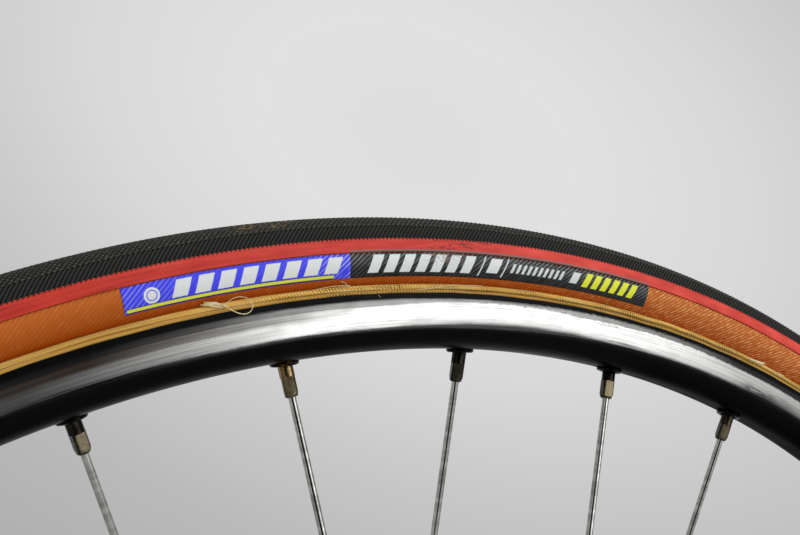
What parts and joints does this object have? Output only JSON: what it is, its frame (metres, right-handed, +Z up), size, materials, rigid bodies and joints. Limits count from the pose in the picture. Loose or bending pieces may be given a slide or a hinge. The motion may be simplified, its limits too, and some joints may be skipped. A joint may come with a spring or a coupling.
{
  "type": "front wheel of a road racing bicycle with a tubular tyre",
  "caption": "Spoked front racing wheel with a glued tubular tyre, box rim, three-cross lacing, small-flange hub and quick-release skewer.",
  "frame": {"origin": "centre of the hub on the axle, halfway between the locknut faces", "axes": "+Y along the axle to the wheel's left side, +Z up, +X the way the wheel rolls forward"},
  "size_m": [0.6729, 0.1475, 0.673],
  "materials": {
    "black_tread_rubber": "file-patterned natural rubber, dusty",
    "red_shoulder_rubber": "matt coloured rubber",
    "skin_cotton_casing": "latex-coated cotton cord",
    "cotton_base_tape": "woven cotton tape",
    "dark_anodised_rim": "dark anodised, brake track worn bright",
    "black_eyelets": "black plated pressing",
    "nickel_brass_nipples": "tarnished nickel plate",
    "stainless_spokes": "drawn stainless wire",
    "polished_hub_alloy": "polished and clear anodised",
    "plated_bearing_steel": "nickel-plated turned steel",
    "dark_axle_steel": "oiled steel",
    "spring_steel": "zinc-plated wire",
    "chromed_pivot": "polished chrome",
    "nickel_valve": "nickel-plated brass"
  },
  "bodies": {
    "axle_set": {"axle": "dark_axle_steel", "cone_left": "plated_bearing_steel", "cone_right": "plated_bearing_steel", "cone_washer_left": "plated_bearing_steel", "cone_washer_right": "plated_bearing_steel", "locknut_left": "plated_bearing_steel", "locknut_right": "plated_bearing_steel", "skewer": "dark_axle_steel", "cam_housing": "polished_hub_alloy", "adjusting_nut": "polished_hub_alloy", "skewer_spring_left": "spring_steel", "skewer_spring_right": "spring_steel"},
    "wheel": {"tyre_tread": "black_tread_rubber", "tyre_shoulder_bands": "red_shoulder_rubber", "tyre_casing": "skin_cotton_casing", "tyre_base_tape": "cotton_base_tape", "rim": "dark_anodised_rim", "spoke_eyelets": "black_eyelets", "spoke_nipples": "nickel_brass_nipples", "spokes_left_trailing": "stainless_spokes", "spokes_left_leading": "stainless_spokes", "spokes_right_trailing": "stainless_spokes", "spokes_right_leading": "stainless_spokes", "hub_shell": "polished_hub_alloy", "dust_cap_left": "plated_bearing_steel", "dust_cap_right": "plated_bearing_steel", "valve_stem": "nickel_valve", "valve_ring_nut": "nickel_valve", "valve_core": "nickel_valve"},
    "lever": {"quick_release_lever": "polished_hub_alloy", "lever_pivot": "chromed_pivot"}
  },
  "joints": [
    {"name": "wheel_spin", "type": "hinge", "parent": "axle_set", "child": "wheel", "pos_m": [0, 0, 0], "axis": [0, 1, 0], "continuous": true},
    {"name": "lever_swing", "type": "hinge", "parent": "axle_set", "child": "lever", "pos_m": [0, 0.065, 0], "axis": [-1, 0, 0], "range_deg": [0, 180]}
  ]
}
